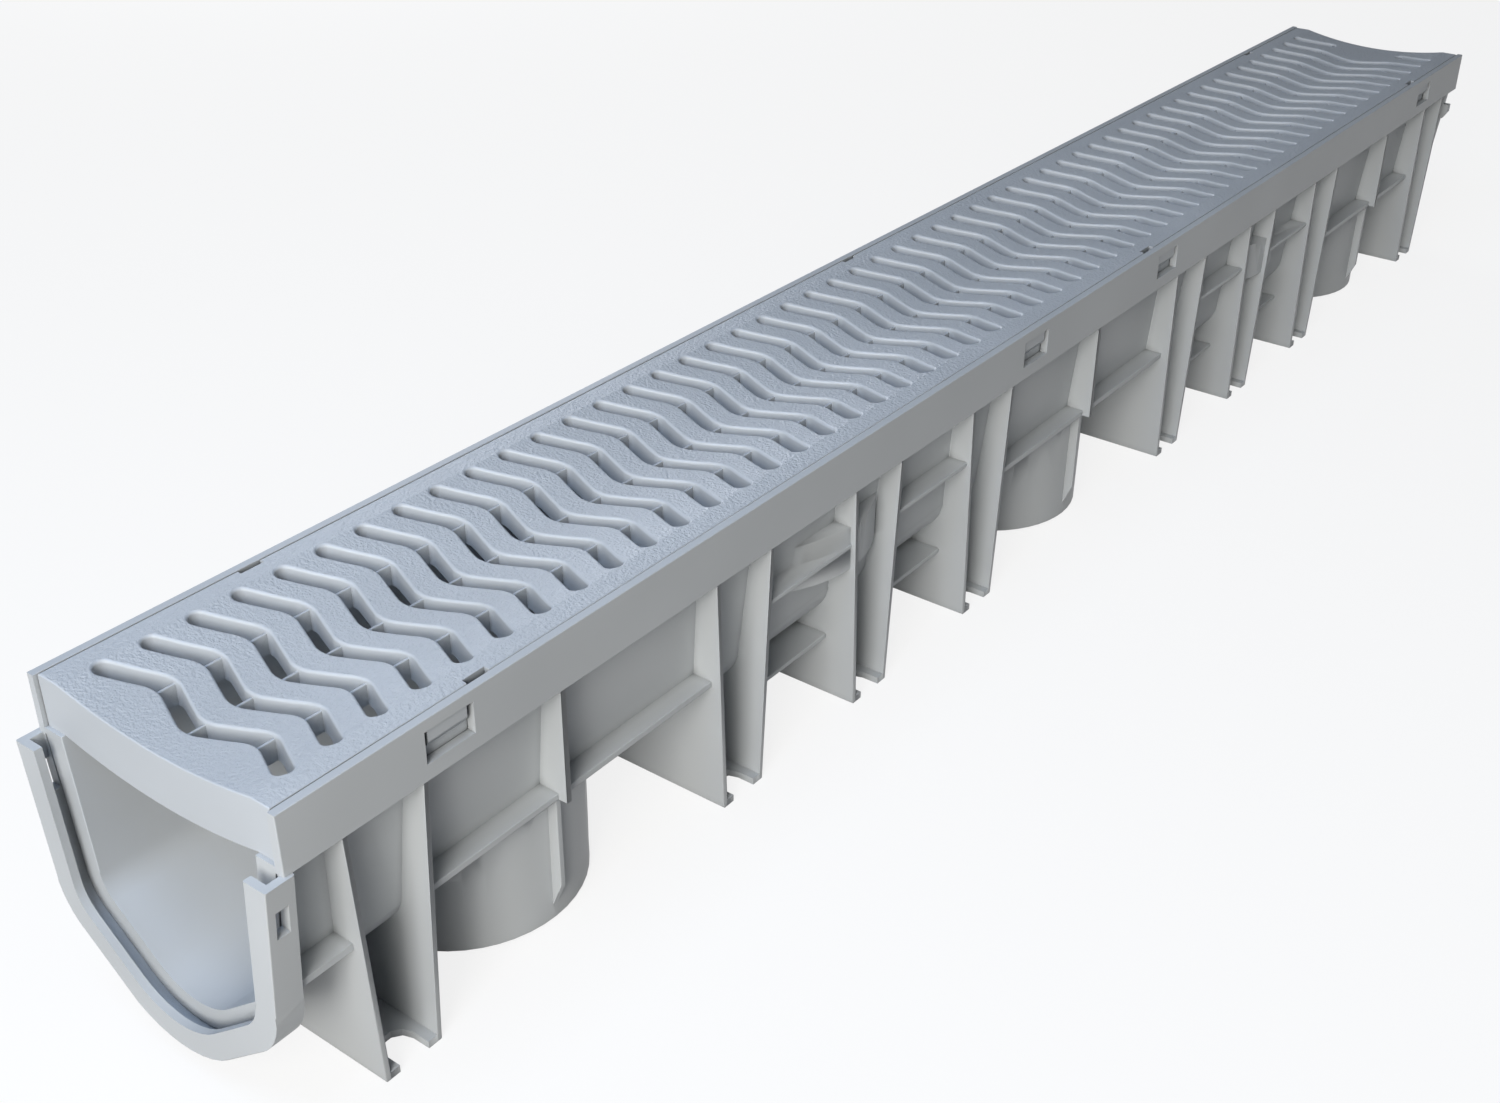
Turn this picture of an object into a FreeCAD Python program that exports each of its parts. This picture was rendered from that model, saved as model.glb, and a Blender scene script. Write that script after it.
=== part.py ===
"""Plastic channel drain: a one-metre moulded channel body and the slotted grate that clips into it.

Units are millimetres.  While the pieces are being modelled x = 0 is the centre line, y = 0 is the end
of the rim frame that carries the socket collar, and z = 0 is the top of the rim frame, so a depth is
a distance below the paving surface.  The finished pieces are then moved to the part's own origin, at
the middle of the bottom of the whole drain.
"""
import FreeCAD, Part
import math
import os

Vector = FreeCAD.Vector
ALONG = Vector(0.0, 1.0, 0.0)
ACROSS = Vector(1.0, 0.0, 0.0)
UP = Vector(0.0, 0.0, 1.0)

# Whole drain
frame_length = 1000.0
overall_height = 129.0

# Rim frame, the rectangular border that the grate lies in
frame_width = 118.0
frame_height = 22.5
rim_wall = 3.4
seat_depth = 20.0

# Trough, a U that the water runs in: steep sides, sloping haunches and a round floor
seat_width = 8.8
trough_side_draft_deg = 3.0
trough_haunch_deg = 39.0
trough_haunch_radius = 14.0
trough_floor_radius = 28.0
trough_floor_depth = 105.0
trough_wall = 2.8

# Legs: pairs of plates that lean together towards the foot, joined there by a notched web
end_leg_inset = 40.0
leg_middle_offset = 100.0
leg_pitch = 90.0
pitched_legs_per_half = 3
leg_plate = 2.2
leg_top_spread = 33.4
leg_foot_spread = 23.0
leg_top_setback = 0.4
leg_foot_setback = 1.4
foot_web = 3.0
foot_notch_width = 13.0
foot_notch_depth = 14.0
foot_notch_facets = 5

# Shelves and ribs outside the trough, between the legs
ledge_depth = 68.0
ledge_thickness = 2.7
ledge_setback = 5.0
upper_shelf_depth = 48.0
upper_shelf_setback = 2.5
lower_shelf_depth = 97.5
lower_shelf_setback = 15.3
shelf_thickness = 2.0
rib_thickness = 2.5
rib_setback = 1.0

# Round bosses that bulge from the trough about one leg plate in each half, closed above
boss_setback = 3.0
boss_wall = 2.2
boss_top_depth = 40.0
boss_height = 20.0

# Outlet spigots, closed inside by the trough floor until a fitter cuts it out
end_outlet_inset = 120.0
spigot_radius = 48.0
spigot_wall = 2.5
spigot_draft_deg = 0.4
spigot_foot_gap = 1.0
spigot_fit_length = 6.4
fin_reach = 4.5
fin_thickness = 2.5
fin_lead_in = 10.6

# End joint: a flange at one end drops into a grooved collar at the other end of the next drain
flange_offset = 8.6
flange_thickness = 4.0
joint_side_clearance = 0.9
joint_end_clearance = 1.0
collar_wall = 4.1
collar_lip = 3.0
collar_lip_offset = 3.8
collar_back = 3.0
collar_back_recess = 1.0
snap_top_depth = 33.0
snap_height = 9.5
snap_reach = 2.9
snap_clearance = 0.6
snap_lead_in = 1.6
far_shelf_clearance = 10.0

# Latches that hold the grate
end_latch_inset = 68.0
middle_latch_offset = 66.0
window_length = 21.0
window_height = 12.0
window_depth = 4.5
tongue_clearance = 1.5
tongue_top_clearance = 0.3
tongue_height = 6.6
tongue_setback = 0.8
tongue_taper = 1.6

# Grate, one moulding: a dished top with zigzag slots and deep bars between them, skirts and end walls.
# The dish is an arc across the drain, drawn as flat strips that break where the slots bend.
grate_side_clearance = 0.4
grate_end_clearance = 1.5
grate_top = 3.0
grate_skirt = 2.5
dish_mouth_clearance = 0.4
dish_depth = 5.0
bar_bottom_depth = 13.5
bar_side_gap = 3.7
slot_end_margin = 20.0
slot_pitch = 18.4
slot_width = 6.5
slot_tip_margin = 9.0
slot_bend_offset = 24.0
slot_bend_shift = 9.6
slot_tip_facets = 3
rib_web = 2.5
rib_top_drop = 2.8
notch_length = 10.0
notch_width = 2.3
notch_inset = 85.0
notch_middle_offset = 50.0

# Fits that follow from the sizes above
middle = frame_length / 2.0
frame_half_width = frame_width / 2.0
rim_half_width = frame_half_width - rim_wall
trough_mouth_half_width = rim_half_width - seat_width
foot_depth = overall_height
leg_foot_half_width = frame_half_width - leg_foot_setback
ledge_half_width = frame_half_width - ledge_setback
upper_shelf_half_width = frame_half_width - upper_shelf_setback
lower_shelf_half_width = frame_half_width - lower_shelf_setback
rib_half_width = frame_half_width - rib_setback
boss_radius = frame_half_width - boss_setback
spigot_end_depth = overall_height - spigot_foot_gap
fin_tip_depth = spigot_end_depth - spigot_fit_length
fin_straight_depth = fin_tip_depth - fin_lead_in
groove_width = flange_thickness + joint_end_clearance
collar_offset = flange_offset + joint_side_clearance
collar_reach = groove_width + collar_lip
grate_half_width = rim_half_width - grate_side_clearance
dish_half_width = trough_mouth_half_width - dish_mouth_clearance
bar_half_width = grate_half_width - grate_skirt - bar_side_gap
slot_tip_offset = grate_half_width - slot_tip_margin - slot_width / 2.0
slot_count = 1 + int((frame_length - 2.0 * slot_end_margin) / slot_pitch)
overall_length = frame_length + collar_reach


def box(x0, x1, y0, y1, top_depth, bottom_depth):
    """Box between two widths, two stations and two depths."""
    size = (x1 - x0, y1 - y0, bottom_depth - top_depth)
    return Part.makeBox(*size, Vector(x0, y0, -bottom_depth))


def wide_box(half_width, y0, y1, top_depth, bottom_depth):
    """Box across the drain, the same distance either side of the centre line."""
    return box(-half_width, half_width, y0, y1, top_depth, bottom_depth)


def polygon_prism(points, direction):
    """Straight prism on a closed polygon of points."""
    wire = Part.makePolygon(list(points) + [points[0]])
    return Part.Face(wire).extrude(direction)


def mirrored(shape):
    """The same shape at the other side of the centre line."""
    return shape.mirror(Vector(0.0, 0.0, 0.0), ACROSS)


def both_sides(shape):
    """A shape and its mirror image."""
    return [shape, mirrored(shape)]


def turned(shape):
    """The same shape after a half turn of the drain about its upright middle line."""
    copy = shape.copy()
    copy.rotate(Vector(0.0, middle, 0.0), UP, 180.0)
    return copy


def side_half_width(depth, offset):
    """Half width of the trough's steep side at a depth, moved outwards by an offset."""
    draft = math.radians(trough_side_draft_deg)
    inward = (depth - seat_depth) * math.tan(draft)
    return trough_mouth_half_width - inward + offset / math.cos(draft)


def trough_half_outline(offset):
    """Corner points, tangent points and mid points of one half of the trough's section."""
    draft = math.radians(trough_side_draft_deg)
    slope = math.radians(trough_haunch_deg)
    floor_radius = trough_floor_radius + offset
    floor_centre = trough_floor_radius - trough_floor_depth
    floor_tangent = Vector(floor_radius * math.sin(slope), 0.0, floor_centre - floor_radius * math.cos(slope))
    floor_low = Vector(0.0, 0.0, floor_centre - floor_radius)

    # Where the lines of the steep side and the haunch would cross without their round corner
    drop = floor_tangent.z + seat_depth
    flat = side_half_width(seat_depth, offset) - floor_tangent.x
    rise = (flat + drop * math.tan(draft)) / (1.0 / math.tan(slope) + math.tan(draft))
    corner = floor_tangent + Vector(rise / math.tan(slope), 0.0, rise)

    side_way = Vector(math.sin(draft), 0.0, math.cos(draft))
    haunch_way = Vector(math.cos(slope), 0.0, math.sin(slope))
    turn = math.pi / 2.0 - draft - slope
    haunch_radius = trough_haunch_radius + offset
    tangent = haunch_radius * math.tan(turn / 2.0)
    side_end = corner + side_way * tangent
    haunch_end = corner - haunch_way * tangent
    inward = (side_way - haunch_way).normalize()
    sagitta = haunch_radius / math.cos(turn / 2.0) - haunch_radius
    haunch_mid = corner + inward * sagitta
    return side_end, haunch_mid, haunch_end, floor_tangent, floor_low


def trough_prism(offset, y0, y1, top_depth=seat_depth):
    """Solid with the trough's section, grown by an offset, between two stations."""
    side_end, haunch_mid, haunch_end, floor_tangent, floor_low = trough_half_outline(offset)

    def flip(point):
        return Vector(-point.x, 0.0, point.z)

    top = Vector(side_half_width(top_depth, offset), 0.0, -top_depth)
    edges = [
        Part.makeLine(flip(top), top),
        Part.makeLine(top, side_end),
        Part.Arc(side_end, haunch_mid, haunch_end).toShape(),
        Part.makeLine(haunch_end, floor_tangent),
        Part.Arc(floor_tangent, floor_low, flip(floor_tangent)).toShape(),
        Part.makeLine(flip(floor_tangent), flip(haunch_end)),
        Part.Arc(flip(haunch_end), flip(haunch_mid), flip(side_end)).toShape(),
        Part.makeLine(flip(side_end), flip(top)),
    ]
    section = Part.Face(Part.Wire(edges))
    section.translate(ALONG * y0)
    return section.extrude(ALONG * (y1 - y0))


def strip_face(points, width, tip_facets):
    """Flat strip along a line of points, with mitred bends and each end rounded by a few facets."""
    half = width / 2.0
    ways = [(end - start).normalize() for start, end in zip(points, points[1:])]

    def tip(centre, way):
        side = UP.cross(way)
        turns = [math.pi * step / tip_facets for step in range(tip_facets + 1)]
        return [centre - side * (half * math.cos(turn)) + way * (half * math.sin(turn)) for turn in turns]

    mitres = []
    for before, after in zip(ways, ways[1:]):
        side = UP.cross(before + after).normalize()
        mitres.append(side * (half / side.dot(UP.cross(after))))
    bends = list(zip(points[1:-1], mitres))
    right = [point - mitre for point, mitre in bends]
    left = [point + mitre for point, mitre in reversed(bends)]
    outline = tip(points[0], ways[0] * -1.0) + right + tip(points[-1], ways[-1]) + left
    return Part.Face(Part.makePolygon(outline + [outline[0]]))


def leg_stations():
    """Stations of the leg pairs, the same both ways from the middle."""
    offsets = [leg_middle_offset + leg_pitch * i for i in range(pitched_legs_per_half)]
    offsets.append(middle - end_leg_inset)
    return sorted([middle - offset for offset in offsets] + [middle + offset for offset in offsets])


def outlet_stations():
    """Stations of the outlet spigots."""
    return [end_outlet_inset, middle, frame_length - end_outlet_inset]


def latch_stations():
    """Stations of the latches along each side."""
    near = [end_latch_inset, middle - middle_latch_offset]
    return near + [frame_length - station for station in reversed(near)]


def leg_offset(depth):
    """Distance from a leg pair's middle to the middle of either plate, at a depth."""
    share = (depth - frame_height) / (foot_depth - frame_height)
    return (leg_top_spread + (leg_foot_spread - leg_top_spread) * share) / 2.0


def leg_half_width(depth):
    """Half width of a leg plate at a depth."""
    top = frame_half_width - leg_top_setback
    share = (depth - frame_height) / (foot_depth - frame_height)
    return top + (leg_foot_half_width - top) * share


def leg_plate_solid(station, side):
    """One leaning plate of a leg pair, full width, from the rim frame down to the foot."""
    top = Vector(0.0, station + side * leg_offset(frame_height), -frame_height)
    foot = Vector(0.0, station + side * leg_offset(foot_depth), -foot_depth)
    half_plate = ALONG * (leg_plate / 2.0)
    edge = [top - half_plate, top + half_plate, foot + half_plate, foot - half_plate]
    lean = polygon_prism(edge, ACROSS * frame_width)
    lean.translate(ACROSS * -frame_half_width)
    corners = []
    for depth in (frame_height, foot_depth):
        corners.append(Vector(leg_half_width(depth), 0.0, -depth))
    corners += [Vector(-corner.x, 0.0, corner.z) for corner in reversed(corners)]
    front = polygon_prism(corners, ALONG * frame_length)
    return lean.common(front)


def foot_web_solid(station):
    """Flat web between the two plates of a leg pair, with a rounded notch at each outer end."""
    reach = leg_offset(foot_depth)
    top = foot_depth - foot_web
    web = wide_box(leg_foot_half_width, station - reach, station + reach, top, foot_depth)
    notch_end = leg_foot_half_width - foot_notch_depth + foot_notch_width / 2.0
    middle_line = [Vector(notch_end, station, -foot_depth), Vector(frame_half_width, station, -foot_depth)]
    notch = strip_face(middle_line, foot_notch_width, foot_notch_facets).extrude(UP * foot_web)
    return web.cut(both_sides(notch))


def leg_solids():
    """All leg plates and foot webs."""
    solids = []
    for station in leg_stations():
        solids.append(leg_plate_solid(station, -1.0))
        solids.append(leg_plate_solid(station, 1.0))
        solids.append(foot_web_solid(station))
    return solids


def shelf(half_width, y0, y1, depth, thickness):
    """Level shelf along the drain; its middle is opened later by the trough."""
    return wide_box(half_width, y0, y1, depth, depth + thickness)


def shelf_solids():
    """Shelves in every bay: one ledge beside an outlet or an end, two shelves elsewhere."""
    stations = leg_stations()
    bays = [(station, following) for station, following in zip(stations, stations[1:])]
    solids = []
    for start, end in bays:
        has_outlet = any(start < outlet < end for outlet in outlet_stations())
        if has_outlet:
            levels = [(ledge_half_width, ledge_depth, ledge_thickness)]
        else:
            levels = [
                (upper_shelf_half_width, upper_shelf_depth, shelf_thickness),
                (lower_shelf_half_width, lower_shelf_depth, shelf_thickness),
            ]
        for half_width, depth, thickness in levels:
            reach = leg_offset(depth)
            solids.append(shelf(half_width, start + reach, end - reach, depth, thickness))
    reach = leg_offset(ledge_depth)
    ends = [(collar_back, stations[0] - reach), (stations[-1] + reach, frame_length - far_shelf_clearance)]
    for y0, y1 in ends:
        solids.append(shelf(ledge_half_width, y0, y1, ledge_depth, ledge_thickness))
    return solids


def rib_solids():
    """Upright ribs above the ledge, one over each outlet."""
    half = rib_thickness / 2.0
    bottom = ledge_depth + ledge_thickness
    return [wide_box(rib_half_width, y - half, y + half, frame_height, bottom) for y in outlet_stations()]


def boss_solid(station):
    """Upright drum, closed above; later only its two bulges outside the trough are left."""
    base = Vector(0.0, station, -boss_top_depth - boss_height)
    drum = Part.makeCylinder(boss_radius, boss_height, base)
    hollow = Part.makeCylinder(boss_radius - boss_wall, boss_height - boss_wall, base)
    return drum.cut(hollow)


def boss_solids():
    """The bosses, one pair in each half of the drain."""
    depth = boss_top_depth + boss_height / 2.0
    near = leg_stations()[pitched_legs_per_half - 1] - leg_offset(depth)
    return [boss_solid(near), boss_solid(frame_length - near)]


def spigot_solid(station):
    """Round outlet spigot, open below: a drafted barrel that ends in a parallel length for the pipe."""
    end = Vector(0.0, station, -spigot_end_depth)
    bore_height = spigot_end_depth - ledge_depth - ledge_thickness
    bore = Part.makeCylinder(spigot_radius - spigot_wall, bore_height, end)
    barrel_height = fin_tip_depth - ledge_depth
    top_radius = spigot_radius + barrel_height * math.tan(math.radians(spigot_draft_deg))
    barrel = Part.makeCone(spigot_radius, top_radius, barrel_height, end + UP * spigot_fit_length)
    fit = Part.makeCylinder(spigot_radius, spigot_fit_length, end)
    return barrel.fuse(fit).cut(bore)


def fin_solid(station):
    """Guide fin down the outside of a spigot, below the rib, with its lower end drawn in."""
    root = spigot_radius - spigot_wall / 2.0
    tip = spigot_radius + fin_reach
    outline = [
        Vector(root, 0.0, -ledge_depth),
        Vector(tip, 0.0, -ledge_depth),
        Vector(tip, 0.0, -fin_straight_depth),
        Vector(spigot_radius, 0.0, -fin_tip_depth),
        Vector(root, 0.0, -fin_tip_depth),
    ]
    fin = polygon_prism(outline, ALONG * fin_thickness)
    fin.translate(ALONG * (station - fin_thickness / 2.0))
    return fin


def outlet_solids():
    """All spigots with their fins."""
    solids = []
    for station in outlet_stations():
        solids.append(spigot_solid(station))
        solids.extend(both_sides(fin_solid(station)))
    return solids


def rim_solid():
    """The rim frame: two walls and the seats that the grate stands on, open at both ends."""
    frame = wide_box(frame_half_width, 0.0, frame_length, 0.0, frame_height)
    pocket = wide_box(rim_half_width, 0.0, frame_length, 0.0, seat_depth)
    return frame.cut(pocket)


def window_cuts():
    """Latch windows through both rim walls."""
    cuts = []
    half = window_length / 2.0
    for station in latch_stations():
        cuts.append(
            wide_box(frame_width, station - half, station + half, window_depth, window_depth + window_height)
        )
    return cuts


def collar_solids():
    """Socket collar: a back plate, a side wall and a front lip with a groove between them."""
    outer_offset = collar_offset + collar_wall
    wall = trough_prism(outer_offset, -collar_reach, collar_back, frame_height)
    groove = trough_prism(collar_offset, -groove_width, 0.0, frame_height)
    mouth = trough_prism(collar_lip_offset, -collar_reach, -groove_width, frame_height)
    edge = trough_prism(collar_offset, 0.0, collar_back_recess, frame_height)
    edge = edge.cut(trough_prism(flange_offset, 0.0, collar_back_recess, frame_height))
    return wall.cut([groove, mouth, edge])


def collar_cuts():
    """Snap windows through the collar's side walls, with lead-in recesses above them."""
    top = snap_top_depth - snap_clearance
    bottom = snap_top_depth + snap_height + snap_clearance
    window = box(0.0, frame_width, -groove_width, 0.0, top, bottom)
    inner = side_half_width(snap_top_depth, collar_offset)
    lead_in = box(0.0, inner + snap_lead_in, -groove_width, 0.0, frame_height, top)
    return both_sides(window) + both_sides(lead_in)


def snap_solid():
    """Barb on the end flange: a level top that catches and a long taper below it."""
    root = side_half_width(snap_top_depth, flange_offset)
    tip = root + snap_reach
    tip_bottom = snap_top_depth + snap_height / 2.0
    outline = [
        Vector(root - flange_offset / 2.0, 0.0, -snap_top_depth),
        Vector(tip, 0.0, -snap_top_depth),
        Vector(tip, 0.0, -tip_bottom),
        Vector(root, 0.0, -snap_top_depth - snap_height),
        Vector(root - flange_offset / 2.0, 0.0, -snap_top_depth - snap_height),
    ]
    barb = polygon_prism(outline, ALONG * flange_thickness)
    barb.translate(ALONG * (frame_length - flange_thickness))
    return barb


def end_flange_solids():
    """The plain U flange of the far end with its two snap barbs."""
    flange = trough_prism(flange_offset, frame_length - flange_thickness, frame_length)
    return [flange] + both_sides(snap_solid())


def make_channel_body():
    """The channel, one moulding."""
    solids = [rim_solid(), trough_prism(trough_wall, 0.0, frame_length), collar_solids()]
    solids += leg_solids() + shelf_solids() + rib_solids() + boss_solids()
    solids += outlet_solids() + end_flange_solids()
    body = solids[0].fuse(solids[1:])
    waterway = trough_prism(0.0, -collar_reach, frame_length)
    cuts = [waterway] + window_cuts() + collar_cuts()
    return body.cut(cuts).removeSplitter()


def dish_drop(x):
    """Depth of the grate's top below its margins, at a distance from the centre line."""
    radius = (dish_half_width ** 2 + dish_depth ** 2) / (2.0 * dish_depth)
    return dish_depth - radius + math.sqrt(radius ** 2 - x ** 2)


def dish_prism(half_width, y0, y1, top, bottom):
    """Solid between two dished surfaces and two stations."""
    breaks = [-dish_half_width, -slot_bend_offset, 0.0, slot_bend_offset, dish_half_width]

    def surface(depth):
        inner = [Vector(x, y0, -depth - dish_drop(x)) for x in breaks]
        return [Vector(-half_width, y0, -depth)] + inner + [Vector(half_width, y0, -depth)]

    return polygon_prism(surface(top) + surface(bottom)[::-1], ALONG * (y1 - y0))


def slot_points():
    """Middle line of a slot: level at its tips and its centre, shifted along at its two bends."""
    lead = slot_bend_shift / 2.0
    return [
        Vector(-slot_tip_offset, -lead, 0.0),
        Vector(-slot_bend_offset, lead, 0.0),
        Vector(0.0, -lead, 0.0),
        Vector(slot_bend_offset, lead, 0.0),
        Vector(slot_tip_offset, -lead, 0.0),
    ]


def slot_station(index):
    """Station of the middle of a slot."""
    first = middle - slot_pitch * (slot_count - 1) / 2.0
    return first + slot_pitch * index


def slot_cuts():
    """Every slot; the last keeps only its outer legs, which leaves a plain field in the middle."""
    points = slot_points()
    whole = strip_face(points, slot_width, slot_tip_facets)
    cuts = []
    for index in range(slot_count - 1):
        face = whole.copy()
        face.translate(Vector(0.0, slot_station(index), -frame_height))
        cuts.append(face.extrude(UP * frame_height))
    for leg in (points[:2], points[-2:]):
        face = strip_face(leg, slot_width, slot_tip_facets)
        face.translate(Vector(0.0, slot_station(slot_count - 1), -frame_height))
        cuts.append(face.extrude(UP * frame_height))
    return cuts


def tongue_solid(station):
    """Latch tongue on a skirt, filling the upper part of a window in the rim."""
    half = window_length / 2.0 - tongue_clearance
    top = window_depth + tongue_top_clearance
    bottom = top + tongue_height
    root = grate_half_width - grate_skirt / 2.0
    tip = frame_half_width - tongue_setback
    outline = [
        Vector(root, 0.0, -top),
        Vector(tip, 0.0, -top),
        Vector(tip, 0.0, -bottom),
        Vector(root, 0.0, -bottom - tongue_taper),
    ]
    tongue = polygon_prism(outline, ALONG * (2.0 * half))
    tongue.translate(ALONG * (station - half))
    return tongue


def tongue_solids():
    """Latch tongues on both skirts."""
    solids = []
    for station in latch_stations():
        solids.extend(both_sides(tongue_solid(station)))
    return solids


def notch_cuts():
    """Slits for a lifting blade in the grate's long edges, alike after a half turn."""
    half = notch_length / 2.0
    inner = grate_half_width - notch_width
    cuts = []
    for station in (notch_inset, middle + notch_middle_offset, frame_length - notch_inset):
        cut = box(inner, frame_half_width, station - half, station + half, 0.0, grate_top)
        cuts += [cut, turned(cut)]
    return cuts


def grate_hollow():
    """Space under the grate: it leaves the top, the bars, the skirts and the end walls."""
    start = grate_end_clearance + grate_skirt
    inner_half = grate_half_width - grate_skirt
    half_outline = [
        (bar_half_width, bar_bottom_depth),
        (bar_half_width, grate_top),
        (inner_half, grate_top),
        (inner_half, frame_height + dish_depth),
    ]
    right = [Vector(x, 0.0, -depth) for x, depth in half_outline]
    left = [Vector(-x, 0.0, -depth) for x, depth in reversed(half_outline)]
    hollow = polygon_prism(right + left, ALONG * (frame_length - 2.0 * start))
    hollow.translate(ALONG * start)
    return hollow


def grate_ribs(hollow):
    """Long ribs across every slot, at its centre and its bends, as deep as the bars."""
    start = grate_end_clearance + grate_skirt
    half = rib_web / 2.0
    ribs = []
    for x in (-slot_bend_offset, 0.0, slot_bend_offset):
        top = dish_drop(x) + rib_top_drop
        rib = box(x - half, x + half, start, frame_length - start, top, frame_height)
        ribs.append(rib.cut(hollow))
    return ribs


def make_grate():
    """The grate, one moulding."""
    start = grate_end_clearance
    tray = dish_prism(grate_half_width, start, frame_length - start, 0.0, seat_depth)
    hollow = grate_hollow()
    grate = tray.cut([hollow] + slot_cuts() + notch_cuts())
    return grate.fuse(grate_ribs(hollow) + tongue_solids()).removeSplitter()


def main():
    """Build both pieces, move them to the part's origin and write their files."""
    os.makedirs("parts", exist_ok=True)
    to_origin = Vector(0.0, collar_reach - overall_length / 2.0, overall_height)
    pieces = {"channel_body": make_channel_body(), "grate": make_grate()}
    for name, shape in pieces.items():
        shape.translate(to_origin)
        shape.exportStep(f"parts/{name}.step")


main()
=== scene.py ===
"""Looks of a moulded plastic channel drain: the channel, its slotted grate, the stage and the camera.

The part's own frame is in metres, +Z up and +Y along the drain. The classes of the part and of its
plastic give their sizes in millimetres.
"""
import logging
import math
from dataclasses import dataclass
from enum import Enum
from typing import Callable

import bpy
from mathutils import Matrix, Vector


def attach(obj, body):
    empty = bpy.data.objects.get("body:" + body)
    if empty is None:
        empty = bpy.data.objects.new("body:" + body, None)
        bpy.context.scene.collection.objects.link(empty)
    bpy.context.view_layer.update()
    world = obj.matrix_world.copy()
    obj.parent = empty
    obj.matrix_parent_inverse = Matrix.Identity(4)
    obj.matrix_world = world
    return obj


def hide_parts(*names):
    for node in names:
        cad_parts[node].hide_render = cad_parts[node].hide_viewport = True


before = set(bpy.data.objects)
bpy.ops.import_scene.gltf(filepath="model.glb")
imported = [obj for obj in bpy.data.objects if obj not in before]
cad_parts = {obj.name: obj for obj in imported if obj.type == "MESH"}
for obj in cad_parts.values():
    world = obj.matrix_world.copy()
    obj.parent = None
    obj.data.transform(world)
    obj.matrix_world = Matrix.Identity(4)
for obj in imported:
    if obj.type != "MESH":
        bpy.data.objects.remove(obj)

LOG = logging.getLogger("channel_drain")
MM = 0.001
# A face's normal reaches this far along an axis where the face looks that way
FACING = 0.9
# And this far where the face slopes but still looks more that way than not
SLOPING = 0.5
# Two places closer than this, in metres, are the same place
SAME_PLACE = 1e-5
# Two levels closer than this, in millimetres, are the same level
SAME_LEVEL = 0.1
# A tool reaches this many millimetres past what it cuts
OVERLAP = 1.0
# Segments of a small rounded edge
EDGE_SEGMENTS = 2
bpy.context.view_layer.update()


def linear(hex_colour: str) -> tuple[float, float, float, float]:
    """Turn an sRGB colour into the linear one that shaders and lamps use.

    Args:
        hex_colour: six hexadecimal digits after a hash sign.

    Returns:
        Red, green, blue and an alpha of one.
    """
    channels = [int(hex_colour[i:i + 2], 16) / 255.0 for i in (1, 3, 5)]
    return (*[c / 12.92 if c <= 0.04045 else ((c + 0.055) / 1.055) ** 2.4 for c in channels], 1.0)


def add_node(
    tree: bpy.types.NodeTree, kind: str, settings: dict | None = None, **inputs: object,
) -> bpy.types.Node:
    """Add one shader node with its settings and its inputs.

    Args:
        tree: the node tree that gets the node.
        kind: the node's type without its ShaderNode prefix.
        settings: properties of the node itself.
        **inputs: a value or an output socket for each input, by name with underscores for spaces.

    Returns:
        The new node.
    """
    node = tree.nodes.new(f"ShaderNode{kind}")
    for name, value in (settings or {}).items():
        setattr(node, name, value)
    for name, value in inputs.items():
        socket = node.inputs[int(name[1:])] if name[1:].isdigit() else node.inputs[name.replace("_", " ")]
        if isinstance(value, bpy.types.NodeSocket):
            tree.links.new(value, socket)
        else:
            socket.default_value = value
    return node


def mix_colours(
    tree: bpy.types.NodeTree, share: bpy.types.NodeSocket, first: object, second: object,
) -> bpy.types.NodeSocket:
    """Mix two colours in a shader.

    Args:
        tree: the node tree.
        share: how much there is of the second colour.
        first: a colour or an output socket.
        second: a colour or an output socket.

    Returns:
        The mixed colour's socket.
    """
    return add_node(tree, "Mix", {"data_type": "RGBA"}, _0=share, _6=first, _7=second).outputs[2]


def select_only(*pieces: bpy.types.Object) -> None:
    """Select pieces and nothing else, and make the first one active."""
    bpy.ops.object.select_all(action="DESELECT")
    for piece in pieces:
        piece.select_set(True)
    bpy.context.view_layer.objects.active = pieces[0]


def duplicate(source: bpy.types.Object) -> bpy.types.Object:
    """Copy an object with a mesh of its own; the copy becomes the active object."""
    select_only(source)
    bpy.ops.object.duplicate()
    return bpy.context.active_object


def extrude_up(rise: float) -> None:
    """Extrude the selected faces straight up by a number of metres."""
    bpy.ops.mesh.extrude_region_move(TRANSFORM_OT_translate={"value": (0.0, 0.0, rise)})


def box(
    name: str, low: tuple[float, float, float], high: tuple[float, float, float],
) -> bpy.types.Object:
    """Add a box with its place in its mesh.

    Args:
        name: the new object's name.
        low: the corner with the least x, y and z, in millimetres.
        high: the corner with the greatest x, y and z, in millimetres.

    Returns:
        The new object, active and in object mode.
    """
    bpy.ops.object.select_all(action="DESELECT")
    bpy.ops.mesh.primitive_cube_add(size=1.0)
    piece = bpy.context.active_object
    piece.name = name
    piece.scale = [(b - a) * MM for a, b in zip(low, high)]
    piece.location = [(a + b) * MM / 2.0 for a, b in zip(low, high)]
    bpy.ops.object.transform_apply(location=True, rotation=True, scale=True)
    return piece


def faces_by_edge(mesh: bpy.types.Mesh) -> dict[tuple, list[bpy.types.MeshPolygon]]:
    """List the faces on each edge of a mesh, under the edge's key."""
    faces: dict[tuple, list[bpy.types.MeshPolygon]] = {}
    for face in mesh.polygons:
        for key in face.edge_keys:
            faces.setdefault(key, []).append(face)
    return faces


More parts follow.
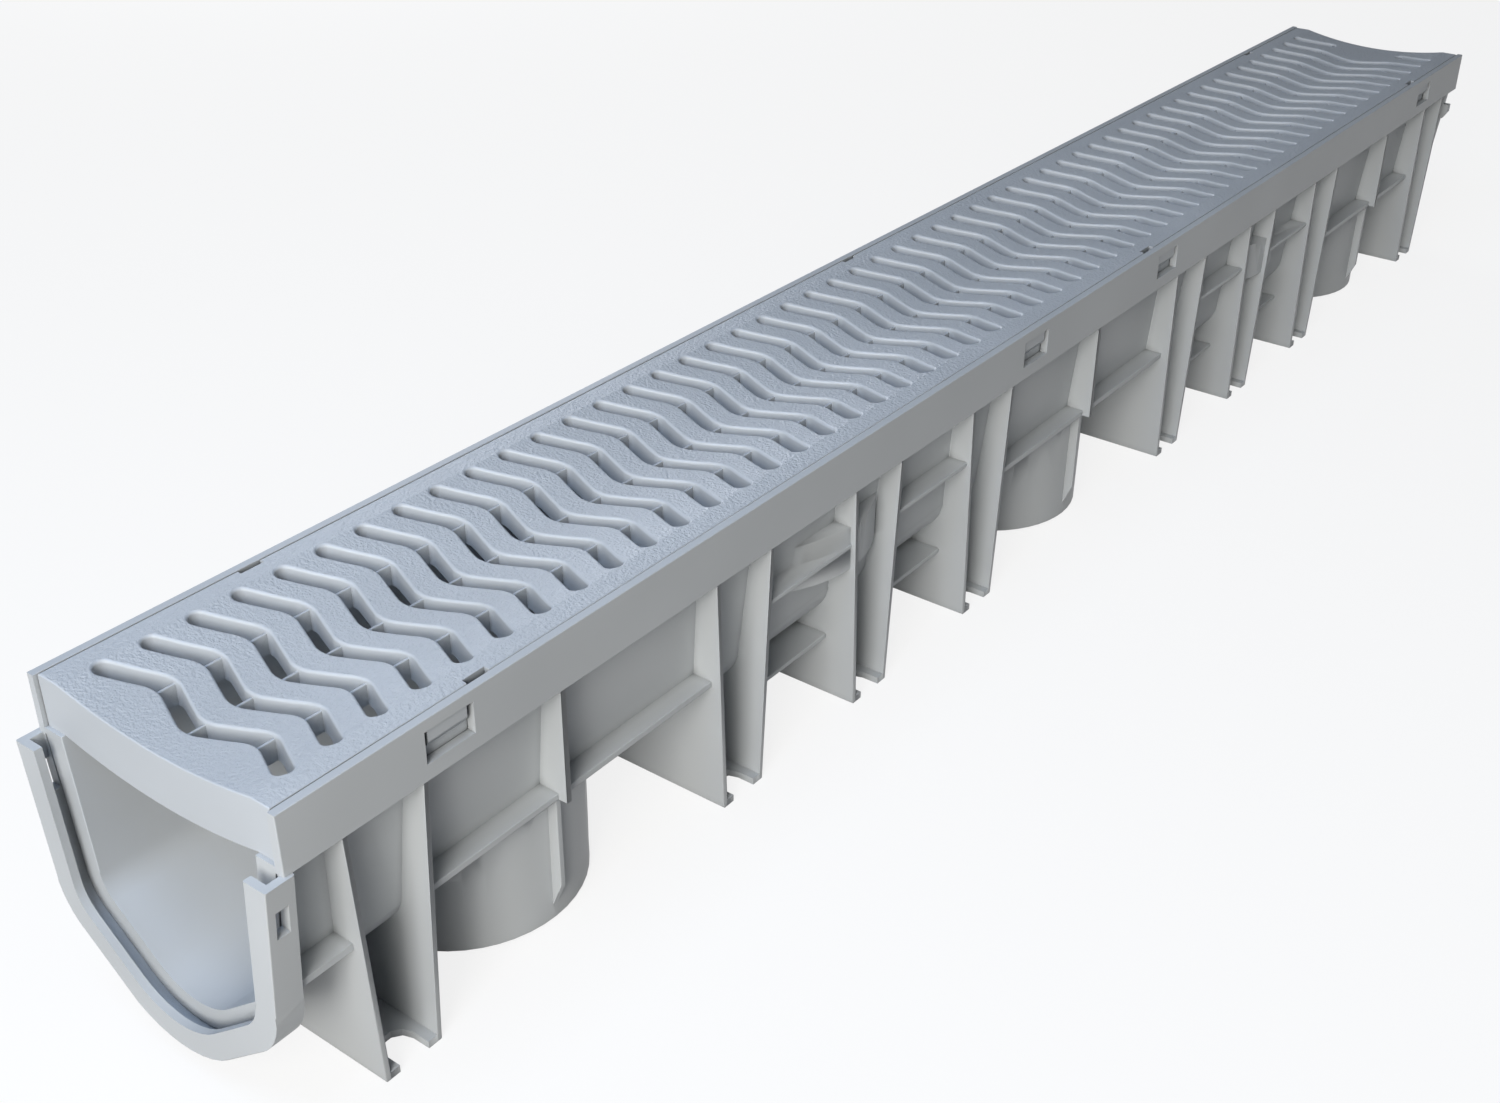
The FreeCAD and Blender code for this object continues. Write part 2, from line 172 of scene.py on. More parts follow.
def pick(piece: bpy.types.Object, kind: str, test: Callable[..., bool]) -> None:
    """Select the points, edges or faces of a piece that pass a test, and leave it in edit mode.

    Args:
        piece: the active object.
        kind: VERT, EDGE or FACE.
        test: gets one point or face, or an edge with the normals of its faces.
    """
    bpy.ops.object.mode_set(mode="EDIT")
    bpy.ops.mesh.select_mode(type=kind)
    bpy.ops.mesh.select_all(action="DESELECT")
    bpy.ops.object.mode_set(mode="OBJECT")
    mesh = piece.data
    if kind == "EDGE":
        faces = faces_by_edge(mesh)
        for edge in mesh.edges:
            edge.select = test(edge, [face.normal for face in faces.get(edge.key, [])])
    else:
        for item in mesh.vertices if kind == "VERT" else mesh.polygons:
            item.select = test(item)
    bpy.ops.object.mode_set(mode="EDIT")


def apply_modifier(piece: bpy.types.Object, kind: str, **settings: object) -> None:
    """Put one modifier on a piece and apply it.

    Args:
        piece: the object to change.
        kind: the modifier's type.
        **settings: the modifier's properties.
    """
    select_only(piece)
    modifier = piece.modifiers.new(kind.lower(), kind)
    for name, value in settings.items():
        setattr(modifier, name, value)
    bpy.ops.object.modifier_apply(modifier=modifier.name)


def cut(piece: bpy.types.Object, cutter: bpy.types.Object) -> None:
    """Cut one closed object out of another and delete the cutter.

    Args:
        piece: the object that loses material.
        cutter: the object that is taken away.
    """
    apply_modifier(piece, "BOOLEAN", operation="DIFFERENCE", solver="EXACT", object=cutter, use_self=False)
    bpy.data.objects.remove(cutter)


def join(pieces: list[bpy.types.Object]) -> bpy.types.Object:
    """Join objects into the first one.

    Args:
        pieces: the objects to join.

    Returns:
        The first object, which now holds every mesh.
    """
    select_only(*pieces)
    bpy.ops.object.join()
    return pieces[0]


class Surface(Enum):
    """How a face of the mould left the plastic."""

    SMOOTH = "smooth"
    GRAINED = "grained"


@dataclass(frozen=True)
class MouldedPolypropylene:
    """Grey injection-moulded polypropylene, satin where the mould was smooth.

    The pattern sizes and bump heights are millimetres on the real piece.
    """

    name: str
    light: str
    dark: str
    roughness: float
    surface: Surface
    ior: float = 1.49
    flow_size: float = 90.0
    # Painted shade for the slots and tight corners: its dark colour, how far the occlusion looks, and where
    # the shade fades out
    corner_shade: str = "#2a2c2e"
    shade_reach: float = 7.0
    shade_open: float = 0.42
    ripple_size: float = 6.0
    ripple_height: float = 0.2
    ripple_strength: float = 0.12
    grain_size: float = 1.2
    grain_height: float = 0.6
    grain_facing: tuple[float, float] = (0.93, 0.97)

    def colour(self, tree: bpy.types.NodeTree, place: bpy.types.NodeSocket) -> bpy.types.NodeSocket:
        """Make the colour of the plastic.

        Args:
            tree: the material's node tree.
            place: the place on the object.

        Returns:
            The colour's socket.
        """
        # Slow changes of shade, as wide as the melt's flow fronts, keep large faces from looking painted
        flow = add_node(tree, "TexNoise", Vector=place, Scale=1.0 / (self.flow_size * MM), Detail=2.0)
        shade = add_node(tree, "MapRange", Value=flow.outputs["Fac"], From_Min=0.3, From_Max=0.7)
        plastic = mix_colours(tree, shade.outputs["Result"], linear(self.dark), linear(self.light))
        # Painted shade: a dark colour is mixed in wherever ambient occlusion finds the slots and tight
        # corners, so that they read as deep
        hidden = add_node(tree, "AmbientOcclusion", {"samples": 4}, Distance=self.shade_reach * MM)
        unshaded = add_node(tree, "MapRange", Value=hidden.outputs["AO"], From_Max=self.shade_open)
        return mix_colours(tree, unshaded.outputs["Result"], linear(self.corner_shade), plastic)

    def relief(self, tree: bpy.types.NodeTree, place: bpy.types.NodeSocket) -> bpy.types.NodeSocket:
        """Make the fine relief that the mould left.

        Args:
            tree: the material's node tree.
            place: the place on the object.

        Returns:
            The normal's socket.
        """
        # The mould's polish is never perfectly flat, which softens the reflections
        ripple = add_node(tree, "TexNoise", Vector=place, Scale=1.0 / (self.ripple_size * MM), Detail=1.0)
        bump = add_node(
            tree, "Bump", Strength=self.ripple_strength, Distance=self.ripple_height * MM,
            Height=ripple.outputs["Fac"],
        )
        if self.surface is Surface.SMOOTH:
            return bump.outputs["Normal"]
        # Spark erosion leaves shallow craters; drawn about twice as coarse as real so that they show
        grain = add_node(tree, "TexNoise", Vector=place, Scale=1.0 / (self.grain_size * MM), Detail=2.0)
        # Only the near-level faces were eroded; the lips of the slots and the walls were polished
        facing = add_node(tree, "SeparateXYZ", Vector=add_node(tree, "NewGeometry").outputs["Normal"])
        start, full = self.grain_facing
        level = add_node(tree, "MapRange", Value=facing.outputs["Z"], From_Min=start, From_Max=full)
        bump = add_node(
            tree, "Bump", Strength=level.outputs["Result"], Distance=self.grain_height * MM,
            Height=grain.outputs["Fac"], Normal=bump.outputs["Normal"],
        )
        return bump.outputs["Normal"]

    def material(self) -> bpy.types.Material:
        """Make the material.

        Returns:
            The material, with flow marks and painted shade in its colour and the mould's own texture as
            bump.
        """
        material = bpy.data.materials.new(self.name)
        material.use_nodes = True
        tree = material.node_tree
        shader = tree.nodes["Principled BSDF"]
        place = add_node(tree, "TexCoord").outputs["Object"]
        tree.links.new(self.colour(tree, place), shader.inputs["Base Color"])
        tree.links.new(self.relief(tree, place), shader.inputs["Normal"])
        shader.inputs["Roughness"].default_value = self.roughness
        shader.inputs["IOR"].default_value = self.ior
        return material


def dress(piece: bpy.types.Object, finish: MouldedPolypropylene) -> None:
    """Give a piece its plastic and no other material."""
    piece.data.materials.clear()
    piece.data.materials.append(finish.material())


@dataclass
class Channel:
    """The moulded channel: the plain shell with its edges softened as a mould leaves them.

    Lengths are millimetres and angles are degrees.
    """

    node: str = "channel_body"
    merge_distance: float = 0.002
    flat_angle: float = 0.6
    edge_radius: float = 0.4
    long_edge: float = 22.0
    corner_angle: float = 50.0
    sliver: float = 0.02
    smooth_angle: float = 25.0
    flat_face_weight: int = 90
    finish: MouldedPolypropylene = MouldedPolypropylene(
        "channel_polypropylene", "#c0c3c5", "#b7babc", 0.42, Surface.SMOOTH,
    )

    def shell(self) -> bpy.types.Object:
        """Copy the plain channel and merge its triangles into clean faces.

        Returns:
            The shell.
        """
        piece = duplicate(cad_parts[self.node])
        piece.name = "channel_moulding"
        pick(piece, "VERT", lambda vertex: True)
        bpy.ops.mesh.remove_doubles(threshold=self.merge_distance * MM)
        bpy.ops.mesh.dissolve_limited(angle_limit=math.radians(self.flat_angle))
        bpy.ops.object.mode_set(mode="OBJECT")
        return piece

    def round_edges(self, piece: bpy.types.Object) -> None:
        """Round the long outer edges, as a mould does.

        Args:
            piece: the shell.
        """
        mesh = piece.data
        weights = mesh.attributes.new("bevel_weight_edge", "FLOAT", "EDGE")
        faces = faces_by_edge(mesh)
        turn = math.cos(math.radians(self.corner_angle))
        for edge in mesh.edges:
            sides = faces.get(edge.key, [])
            start, end = [mesh.vertices[index].co for index in edge.vertices]
            if len(sides) != 2 or (end - start).length < self.long_edge * MM:
                continue
            first, second = sides
            outward = (second.center - first.center).dot(first.normal) < 0.0
            if outward and first.normal.dot(second.normal) < turn:
                weights.data[edge.index].value = 1.0
        apply_modifier(
            piece, "BEVEL", width=self.edge_radius * MM, segments=EDGE_SEGMENTS, limit_method="WEIGHT",
            use_clamp_overlap=False,
        )
        pick(piece, "VERT", lambda vertex: True)
        bpy.ops.mesh.dissolve_degenerate(threshold=self.sliver * MM)
        bpy.ops.object.mode_set(mode="OBJECT")

    def build(self) -> None:
        """Model the channel, give it its plastic and let it stand for the plain one."""
        piece = self.shell()
        self.round_edges(piece)
        bpy.ops.object.shade_smooth_by_angle(angle=math.radians(self.smooth_angle))
        apply_modifier(piece, "WEIGHTED_NORMAL", keep_sharp=True, weight=self.flat_face_weight)
        dress(piece, self.finish)
        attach(piece, "root")
        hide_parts(self.node)


@dataclass
class Grate:
    """The slotted grate: a dished top with deep bars between its slots, skirts and latch tongues.

    Lengths are millimetres and angles are degrees.
    """

    node: str = "grate"
    half_width: float = 55.2
    near_end: float = -494.5
    far_end: float = 502.5
    top: float = 129.0
    edge_depth: float = 20.0
    wall: float = 2.5
    cover: float = 3.0
    bar_depth: float = 13.5
    bar_half_width: float = 49.0
    dish_half_width: float = 46.4
    dish_depth: float = 5.0
    dish_strips: int = 18
    slot_count: int = 53
    slot_pitch: float = 18.4
    slot_width: float = 6.5
    slot_tip: float = 42.95
    slot_bend: float = 24.0
    slot_shift: float = 9.6
    slot_bend_rounding: float = 5.0
    slot_tip_share: float = 0.48
    slot_segments: int = 5
    tool_clearance: float = 5.0
    flat_angle: float = 1.0
    lip_radius: float = 1.15
    lip_segments: int = 4
    edge_radius: float = 0.6
    web_width: float = 1.1
    web_drop: float = 1.6
    web_lift: float = 0.3
    web_rounding: float = 0.4
    notch_length: float = 10.0
    notch_width: float = 2.3
    notch_stations: tuple[float, ...] = (-411.0, 54.0, 419.0)
    latch_stations: tuple[float, ...] = (-428.0, -62.0, 70.0, 436.0)
    tongue_length: float = 17.0
    tongue_top: float = 124.2
    tongue_height: float = 5.8
    tongue_taper: float = 2.4
    tongue_chamfer: float = 1.3
    tongue_rounding: float = 0.35
    tongue_tip: float = 58.2
    smooth_angle: float = 35.0
    finish: MouldedPolypropylene = MouldedPolypropylene(
        "grate_polypropylene", "#bfc3c7", "#b6babe", 0.45, Surface.GRAINED,
    )

    @property
    def middle(self) -> float:
        """The grate's middle along the drain."""
        return (self.near_end + self.far_end) / 2.0

    def level(self, depth: float) -> float:
        """Height of a plane at a depth below the grate's margins."""
        return self.top - depth

    def tray(self) -> bpy.types.Object:
        """Make the blank: a block hollowed from below, with a deep middle for the bars.

        Returns:
            The blank, flat on top and without slots.
        """
        low = (-self.half_width, self.near_end, self.level(self.edge_depth))
        piece = box("grate_moulding", low, (self.half_width, self.far_end, self.top))
        margin = self.bar_half_width * MM
        level = self.level(self.bar_depth) * MM

        def below_bars(face: bpy.types.MeshPolygon) -> bool:
            """Tell a face that looks down within the bars' width."""
            return face.normal.z < -FACING and abs(face.center.x) < margin

        def beside_bars(face: bpy.types.MeshPolygon) -> bool:
            """Tell the two narrow faces between the bars and the skirts."""
            low_face = face.normal.z < -FACING and abs(face.center.z - level) < SAME_PLACE
            return low_face and abs(face.center.x) > margin

        pick(piece, "FACE", lambda face: face.normal.z < -FACING)
        bpy.ops.mesh.inset(thickness=self.wall * MM)
        extrude_up((self.edge_depth - self.bar_depth) * MM)
        for x in (-margin, margin):
            pick(piece, "FACE", below_bars)
            bpy.ops.mesh.bisect(plane_co=(x, 0.0, 0.0), plane_no=(1.0, 0.0, 0.0))
        pick(piece, "FACE", beside_bars)
        extrude_up((self.bar_depth - self.cover) * MM)
        bpy.ops.object.mode_set(mode="OBJECT")
        return piece

    def slot_line(self) -> list[Vector]:
        """Middle line of one slot, level at its tips and its centre."""
        lead = self.slot_shift / 2.0
        line = [(-self.slot_tip, -lead), (-self.slot_bend, lead), (0.0, -lead)]
        line += [(self.slot_bend, lead), (self.slot_tip, -lead)]
        return [Vector((x, y)) for x, y in line]

    def slot_sides(self, line: list[Vector]) -> list[tuple[Vector, Vector]]:
        """Work out the two sides of a slot at each point of its middle line.

        Args:
            line: the middle line, from tip to tip.

        Returns:
            A near and a far point for each point of the line, square at the tips and mitred at the bends.
        """
        half = self.slot_width / 2.0
        ways = [(end - start).normalized() for start, end in zip(line, line[1:])]
        squares = [Vector((-way.y, way.x)) for way in ways]
        sides = []
        for index, point in enumerate(line):
            before = squares[max(index - 1, 0)]
            after = squares[min(index, len(squares) - 1)]
            mitre = (before + after).normalized()
            mitre *= half / mitre.dot(after)
            if index == 0:
                point = point - ways[0] * half
            if index == len(line) - 1:
                point = point + ways[-1] * half
            sides.append((point - mitre, point + mitre))
        return sides

    def slot_strip(self, name: str, line: list[Vector]) -> bpy.types.Object:
        """Lay a straight flat strip with a cross cut for each bend of a slot.

        Args:
            name: the strip's name.
            line: the middle line of the slot.

        Returns:
            The strip, level and below the grate.
        """
        bpy.ops.object.select_all(action="DESELECT")
        bpy.ops.mesh.primitive_plane_add(size=1.0)
        strip = bpy.context.active_object
        strip.name = name
        start, end = line[0].x - self.slot_width, line[-1].x + self.slot_width
        strip.scale = ((end - start) * MM, self.slot_width * MM, 1.0)
        depth = self.edge_depth + self.tool_clearance
        strip.location = ((start + end) * MM / 2.0, 0.0, self.level(depth) * MM)
        bpy.ops.object.transform_apply(location=True, rotation=True, scale=True)
        for point in line[1:-1]:
            pick(strip, "FACE", lambda face: True)
            bpy.ops.mesh.bisect(plane_co=(point.x * MM, 0.0, 0.0), plane_no=(1.0, 0.0, 0.0))
        bpy.ops.object.mode_set(mode="OBJECT")
        return strip

    def bend_strip(self, strip: bpy.types.Object, line: list[Vector], station: float) -> list[Vector]:
        """Bend a strip along a slot's middle line.

        Args:
            strip: the straight strip.
            line: the middle line of the slot.
            station: the slot's place along the drain.

        Returns:
            The four corners at the slot's two tips, in metres.
        """
        sides = self.slot_sides(line)
        columns = sorted({round(vertex.co.x, 6) for vertex in strip.data.vertices})
        for column, targets in zip(columns, sides):
            for side, target in zip((-1.0, 1.0), targets):
                place = Vector((column, side * self.slot_width * MM / 2.0))
                pick(strip, "VERT", lambda vertex: (vertex.co.xy - place).length < SAME_PLACE)
                shift = Vector((target.x * MM, (target.y + station) * MM)) - place
                bpy.ops.transform.translate(value=(shift.x, shift.y, 0.0))
        bpy.ops.mesh.select_all(action="SELECT")
        bpy.ops.mesh.dissolve_limited(angle_limit=math.radians(self.flat_angle))
        return [Vector((point.x * MM, (point.y + station) * MM)) for point in (*sides[0], *sides[-1])]

    def slot_cutter(self, name: str, line: list[Vector], station: float) -> bpy.types.Object:
        """Model the tool that cuts one slot.

        Args:
            name: the tool's name.
            line: the middle line of the slot.
            station: the slot's place along the drain.

        Returns:
            A closed upright prism with round tips and bends.
        """
        tool = self.slot_strip(name, line)
        tips = self.bend_strip(tool, line, station)

        def at_tip(vertex: bpy.types.MeshVertex) -> bool:
            """Tell the four corners at the slot's two tips."""
            return min((vertex.co.xy - tip).length for tip in tips) < SAME_PLACE

        pick(tool, "VERT", lambda vertex: not at_tip(vertex))
        if len(line) > 2:
            rounding = self.slot_bend_rounding * MM
            bpy.ops.mesh.bevel(offset=rounding, segments=self.slot_segments, affect="VERTICES")
        pick(tool, "VERT", at_tip)
        rounding = self.slot_width * MM * self.slot_tip_share
        bpy.ops.mesh.bevel(offset=rounding, segments=self.slot_segments, affect="VERTICES")
        bpy.ops.mesh.select_all(action="SELECT")
        extrude_up(2.0 * self.edge_depth * MM)
        bpy.ops.mesh.select_all(action="SELECT")
        bpy.ops.mesh.normals_make_consistent(inside=False)
        bpy.ops.object.mode_set(mode="OBJECT")
        return tool

    def cut_slots(self, piece: bpy.types.Object) -> None:
        """Cut every slot; the last keeps only its outer legs, which leaves a plain field in the middle.

        Args:
            piece: the blank.
        """
        reach = self.slot_pitch * (self.slot_count - 1) / 2.0
        line = self.slot_line()
        row = self.slot_cutter("slot_tool", line, self.middle - reach)
        apply_modifier(
            row, "ARRAY", count=self.slot_count - 1, use_relative_offset=False, use_constant_offset=True,
            constant_offset_displace=(0.0, self.slot_pitch * MM, 0.0),
        )
        left = self.slot_cutter("slot_tool_left", line[:2], self.middle + reach)
        right = self.slot_cutter("slot_tool_right", line[-2:], self.middle + reach)
        cut(piece, join([row, left, right]))

    def round_edges(self, piece: bpy.types.Object) -> None:
        """Round the lips of the slots and the grate's own top edges.

        Args:
            piece: the grate, still flat on top.
        """
        margin = self.bar_half_width * MM
        near, far = (self.near_end + OVERLAP) * MM, (self.far_end - OVERLAP) * MM

        def top_edge(edge: bpy.types.MeshEdge, normals: list[Vector]) -> bool:
            """Tell an edge between the top and an upright face."""
            levels = sorted(normal.z for normal in normals)
            return len(levels) == 2 and levels[1] > FACING and abs(levels[0]) < 1.0 - FACING

        def inside(edge: bpy.types.MeshEdge) -> bool:
            """Tell an edge that lies within the slotted field."""
            ends = [piece.data.vertices[index].co for index in edge.vertices]
            return all(abs(end.x) < margin and near < end.y < far for end in ends)

        pick(piece, "EDGE", lambda edge, normals: top_edge(edge, normals) and inside(edge))
        bpy.ops.mesh.bevel(
            offset=self.lip_radius * MM, segments=self.lip_segments, affect="EDGES", clamp_overlap=False,
        )
        pick(piece, "EDGE", lambda edge, normals: top_edge(edge, normals) and not inside(edge))
        bpy.ops.mesh.bevel(
            offset=self.edge_radius * MM, segments=EDGE_SEGMENTS, affect="EDGES", clamp_overlap=False,
        )
        bpy.ops.object.mode_set(mode="OBJECT")

    def drop(self, x: float) -> float:
        """Depth of the dish at a distance from the centre line."""
        if abs(x) >= self.dish_half_width:
            return 0.0
        radius = (self.dish_half_width ** 2 + self.dish_depth ** 2) / (2.0 * self.dish_depth)
        return self.dish_depth - radius + math.sqrt(radius ** 2 - x ** 2)

    def dish(self, piece: bpy.types.Object) -> None:
        """Hollow the top and the end walls' lower edges to an arc across the drain.

        Args:
            piece: the grate, still flat on top.
        """
        for step in range(self.dish_strips + 1):
            x = self.dish_half_width * (2.0 * step / self.dish_strips - 1.0)
            pick(piece, "FACE", lambda face: True)
            bpy.ops.mesh.bisect(plane_co=(x * MM, 0.0, 0.0), plane_no=(1.0, 0.0, 0.0))
        bpy.ops.object.mode_set(mode="OBJECT")
        group = piece.vertex_groups.new(name="dish")
        for vertex in piece.data.vertices:
            depth = self.top - vertex.co.z / MM
            if depth < self.cover - SAME_LEVEL or depth > self.edge_depth - SAME_LEVEL:
                group.add([vertex.index], self.drop(vertex.co.x / MM) / self.dish_depth, "REPLACE")
        apply_modifier(
            piece, "DISPLACE", direction="Z", mid_level=0.0, strength=-self.dish_depth * MM,
            vertex_group="dish",
        )
        piece.vertex_groups.clear()

    def cut_notches(self, piece: bpy.types.Object) -> None:
        """Cut the slits for a lifting blade in the long edges, alike after a half turn.

        Args:
            piece: the grate.
        """
        half = self.notch_length / 2.0
        inner, outer = self.half_width - self.notch_width, self.half_width + OVERLAP
        turned = [2.0 * self.middle - station for station in self.notch_stations]
        tools = []
        for (left, right), stations in (((-outer, -inner), turned), ((inner, outer), self.notch_stations)):
            for station in stations:
                low = (left, station - half, self.level(self.cover + OVERLAP))
                tools.append(box("notch_tool", low, (right, station + half, self.top + OVERLAP)))
        cut(piece, join(tools))

    def webs(self) -> list[bpy.types.Object]:
        """Make the long webs that cross every slot at its centre and its bends.

        Returns:
            The three webs, a little above the underside of the bars.
        """
        half = self.web_width / 2.0
        near, far = self.near_end + self.wall, self.far_end - self.wall
        bottom = self.level(self.bar_depth - self.web_lift)
        pieces = []
        for x in (-self.slot_bend, 0.0, self.slot_bend):
            top = self.level(self.drop(x) + self.web_drop)
            web = box("web", (x - half, near, bottom), (x + half, far, top))
            pick(web, "EDGE", lambda edge, normals: max(n.z for n in normals) > FACING)
            bpy.ops.mesh.bevel(offset=self.web_rounding * MM, segments=EDGE_SEGMENTS, affect="EDGES")
            bpy.ops.object.mode_set(mode="OBJECT")
            pieces.append(web)
        return pieces

    def tongue(self) -> bpy.types.Object:
        """Model one latch tongue, a wedge that hangs from the right-hand skirt.

        Returns:
            The tongue, at the frame's own middle.
        """
        root = self.half_width - self.wall / 2.0
        bottom = self.tongue_top - self.tongue_height
        half = self.tongue_length / 2.0
        piece = box("tongue", (root, -half, bottom), (self.tongue_tip, half, self.tongue_top))

        def at_root(vertex: bpy.types.MeshVertex) -> bool:
            """Tell the two lower corners inside the skirt."""
            return vertex.co.x < (root + SAME_LEVEL) * MM and vertex.co.z < (bottom + SAME_LEVEL) * MM

        def at_tip(edge: bpy.types.MeshEdge, normals: list[Vector]) -> bool:
            """Tell an edge of the outer face."""
            return max(normal.x for normal in normals) > FACING

        def under_tip(edge: bpy.types.MeshEdge, normals: list[Vector]) -> bool:
            """Tell the lower edge of the outer face."""
            return at_tip(edge, normals) and min(normal.z for normal in normals) < -SLOPING

        pick(piece, "VERT", at_root)
        bpy.ops.transform.translate(value=(0.0, 0.0, -self.tongue_taper * MM))
        pick(piece, "EDGE", under_tip)
        bpy.ops.mesh.bevel(offset=self.tongue_chamfer * MM, segments=1, affect="EDGES")
        pick(piece, "EDGE", at_tip)
        bpy.ops.mesh.bevel(offset=self.tongue_rounding * MM, segments=EDGE_SEGMENTS, affect="EDGES")
        bpy.ops.object.mode_set(mode="OBJECT")
        return piece

    def tongues(self) -> list[bpy.types.Object]:
        """Make the latch tongues, one modelled and the others copied from it.

        Returns:
            Four tongues for each side, their roots inside the skirts.
        """
        first = self.tongue()
        pieces = []
        for station in self.latch_stations:
            for side in (1.0, -1.0):
                copy = duplicate(first)
                copy.scale.x = side
                copy.location.y = station * MM
                bpy.ops.object.transform_apply(location=True, rotation=True, scale=True)
                if side < 0.0:
                    pick(copy, "FACE", lambda face: True)
                    bpy.ops.mesh.normals_make_consistent(inside=False)
                    bpy.ops.object.mode_set(mode="OBJECT")
                pieces.append(copy)
        bpy.data.objects.remove(first)
        return pieces

    def build(self) -> None:
        """Model the grate, give it its plastic and let it stand for the plain one."""
        piece = self.tray()
        self.cut_slots(piece)
        self.round_edges(piece)
        self.dish(piece)
        self.cut_notches(piece)
        piece = join([piece, *self.webs(), *self.tongues()])
        bpy.ops.object.shade_smooth_by_angle(angle=math.radians(self.smooth_angle))
        apply_modifier(piece, "WEIGHTED_NORMAL", keep_sharp=True)
        dress(piece, self.finish)
        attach(piece, "root")
        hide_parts(self.node)


@dataclass(frozen=True)
class PaleFloor:
    """A matt white studio floor, such as painted board: even and pale, with the object's shadow on it."""

    name: str = "pale_floor"
    paint: str = "#f6f6f6"
    bounce: str = "#6a6a6a"
    glow: float = 0.84

    def material(self) -> bpy.types.Material:
        """Make the material.

        Returns:
            A material that is nearly white to the camera and plain diffuse to the lamps.
        """
        material = bpy.data.materials.new(self.name)
        material.use_nodes = True
        tree = material.node_tree
        tree.nodes.remove(tree.nodes["Principled BSDF"])
        rays = add_node(tree, "LightPath").outputs
        seen = rays["Is Camera Ray"]
        for kind in ("Is Glossy Ray", "Is Transmission Ray"):
            seen = add_node(tree, "Math", {"operation": "MAXIMUM"}, _0=seen, _1=rays[kind]).outputs[0]
        share = add_node(tree, "Math", {"operation": "MULTIPLY"}, _0=seen, _1=self.glow)
        # The floor throws less light back at the drain than its paleness would
        tint = mix_colours(tree, seen, linear(self.bounce), linear(self.paint))
        paint = add_node(tree, "BsdfDiffuse", Color=tint)
        glow = add_node(tree, "Emission", Color=linear("#ffffff"), Strength=1.0)
        mix = add_node(tree, "MixShader", _0=share.outputs[0], _1=paint.outputs[0], _2=glow.outputs[0])
        # Only its upper side shows, so that the drain's underside can be looked at too
        side = add_node(tree, "NewGeometry").outputs["Backfacing"]
        clear = add_node(tree, "BsdfTransparent")
        skin = add_node(tree, "MixShader", _0=side, _1=mix.outputs[0], _2=clear.outputs[0])
        tree.links.new(skin.outputs[0], tree.nodes["Material Output"].inputs["Surface"])
        return material


@dataclass(frozen=True)
class Lamp:
    """One square soft lamp: where it hangs, the point it faces, its side, its watts and its colour."""

    name: str
    place: tuple[float, float, float]
    target: tuple[float, float, float]
    size: float
    watts: float
    colour: str

    def hang(self) -> None:
        """Hang the lamp and turn it to its target."""
        data = bpy.data.lights.new(self.name, "AREA")
        data.size = self.size
        data.energy = self.watts
        data.color = linear(self.colour)[:3]
        lamp = bpy.data.objects.new(self.name, data)
        bpy.context.scene.collection.objects.link(lamp)
        lamp.location = self.place
        way = Vector(self.target) - Vector(self.place)
        lamp.rotation_euler = way.to_track_quat("-Z", "Y").to_euler()


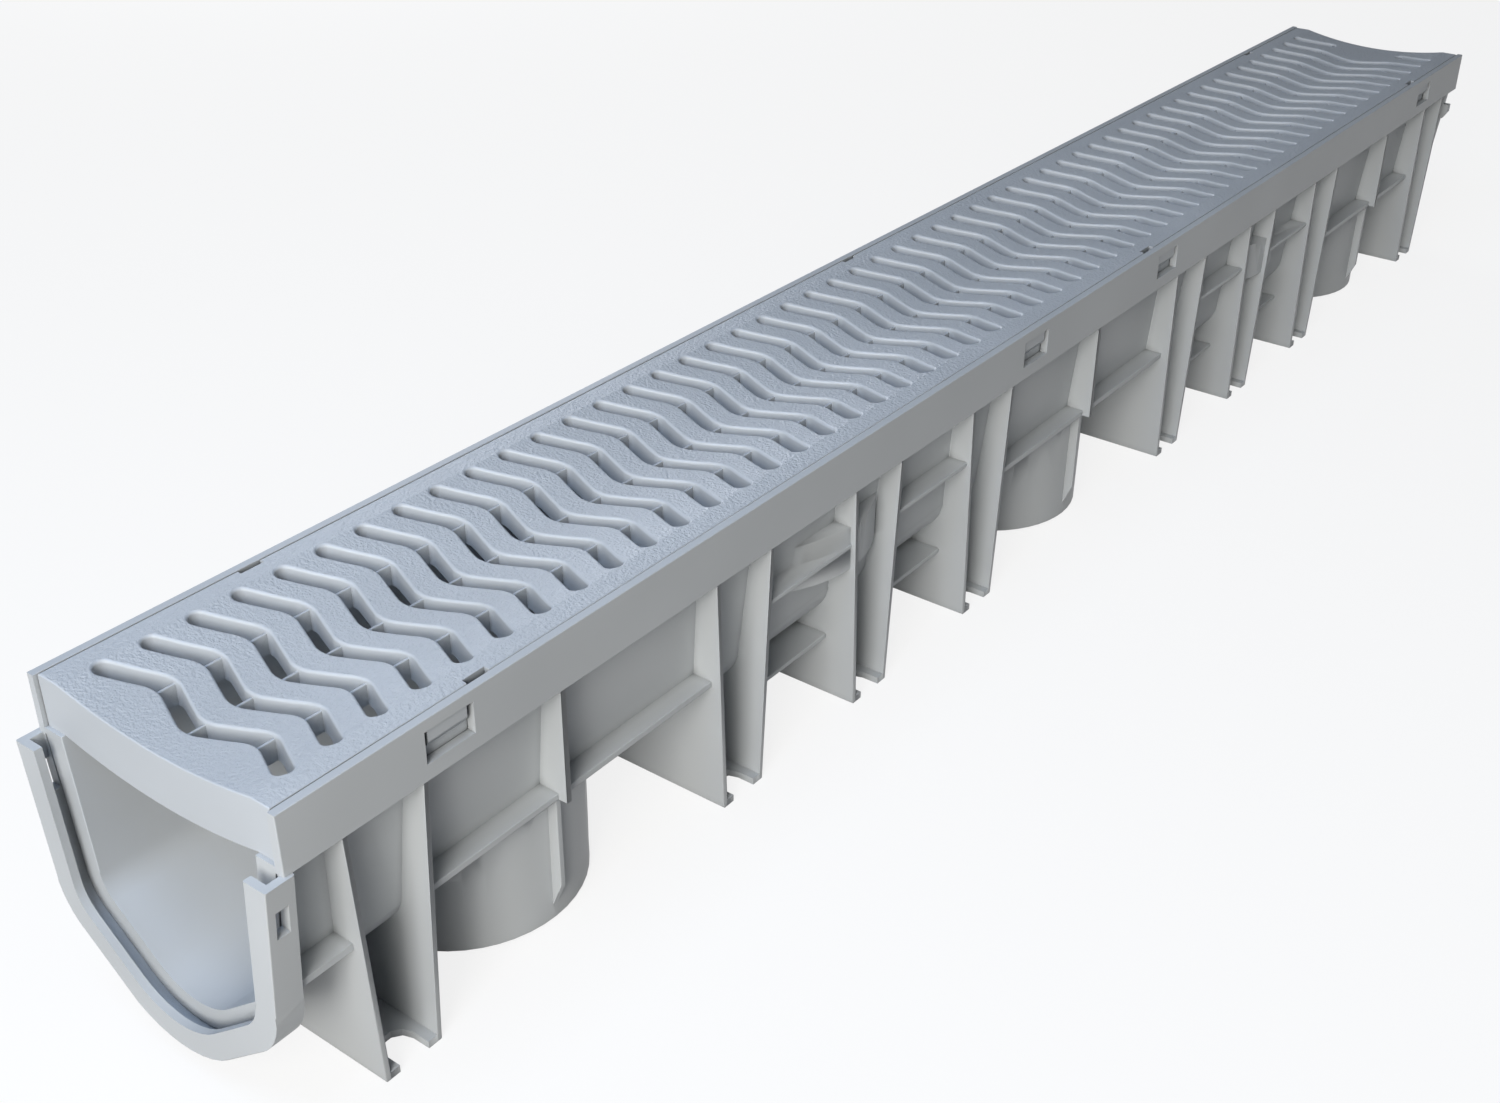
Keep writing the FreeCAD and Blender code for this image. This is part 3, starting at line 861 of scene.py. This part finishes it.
@dataclass
class Stage:
    """The floor, the lamps, the room's light and the camera.

    Lengths are metres, but for the camera's lens and sensor.
    """

    camera_place: tuple[float, float, float] = (0.40643, -0.73565, 0.45264)
    camera_forward: tuple[float, float, float] = (-0.51826, 0.68790, -0.50813)
    camera_up: tuple[float, float, float] = (-0.31044, 0.40230, 0.86127)
    lens_mm: float = 43.535
    sensor_mm: float = 36.0
    clip_start: float = 0.01
    floor_size: float = 30.0
    floor_finish: PaleFloor = PaleFloor()
    room_colour: str = "#eaf1fa"
    room_light: float = 0.14
    lamps: tuple[Lamp, ...] = (
        Lamp("key", (0.7, -1.8, 1.25), (0.0, -0.3, 0.08), 0.7, 15.5, "#fffdf8"),
        Lamp("side", (0.6, -1.2, 0.5), (0.06, -0.45, 0.08), 0.35, 3.2, "#fffdf8"),
        Lamp("front", (0.8, -2.4, 0.7), (0.0, -0.35, 0.05), 0.8, 20.0, "#fffdf8"),
        Lamp("top", (0.0, -0.85, 1.15), (0.0, -0.5, 0.1), 0.55, 7.0, "#c0daff"),
        Lamp("back", (-1.7, 1.1, 0.4), (0.0, 0.0, 0.06), 0.9, 14.0, "#f4f8ff"),
    )

    def floor(self) -> None:
        """Lay the floor that the drain stands on."""
        bpy.ops.object.select_all(action="DESELECT")
        bpy.ops.mesh.primitive_plane_add(size=self.floor_size)
        floor = bpy.context.active_object
        floor.name = "floor"
        floor.data.materials.append(self.floor_finish.material())

    def world(self) -> None:
        """Fill the room with even light, white to the camera."""
        world = bpy.data.worlds.new("room")
        bpy.context.scene.world = world
        world.use_nodes = True
        tree = world.node_tree
        tree.nodes.clear()
        rays = add_node(tree, "LightPath").outputs
        room = add_node(tree, "Background", Color=linear(self.room_colour), Strength=self.room_light)
        white = add_node(tree, "Background", Color=linear("#ffffff"), Strength=1.0)
        mix = add_node(tree, "MixShader", _0=rays["Is Camera Ray"], _1=room.outputs[0], _2=white.outputs[0])
        output = add_node(tree, "OutputWorld")
        tree.links.new(mix.outputs[0], output.inputs["Surface"])

    def camera(self) -> None:
        """Set up the camera, above and beside the drain's near end."""
        data = bpy.data.cameras.new("camera")
        data.lens = self.lens_mm
        data.sensor_width = self.sensor_mm
        data.clip_start = self.clip_start
        camera = bpy.data.objects.new("camera", data)
        bpy.context.scene.collection.objects.link(camera)
        back = -Vector(self.camera_forward).normalized()
        up = Vector(self.camera_up)
        right = up.cross(back).normalized()
        up = back.cross(right)
        turn = Matrix((right, up, back)).transposed().to_4x4()
        camera.matrix_world = Matrix.Translation(self.camera_place) @ turn
        bpy.context.scene.camera = camera

    def build(self) -> None:
        """Build the whole stage."""
        bpy.context.scene.view_settings.view_transform = "Standard"
        self.floor()
        self.world()
        for lamp in self.lamps:
            lamp.hang()
        self.camera()


def main() -> None:
    """Dress the drain and build the stage."""
    logging.basicConfig(level=logging.INFO, format="%(name)s: %(message)s")
    for part in (Channel(), Grate()):
        part.build()
        LOG.info("built %s", part.node)
    Stage().build()


if __name__ == "__main__":
    main()
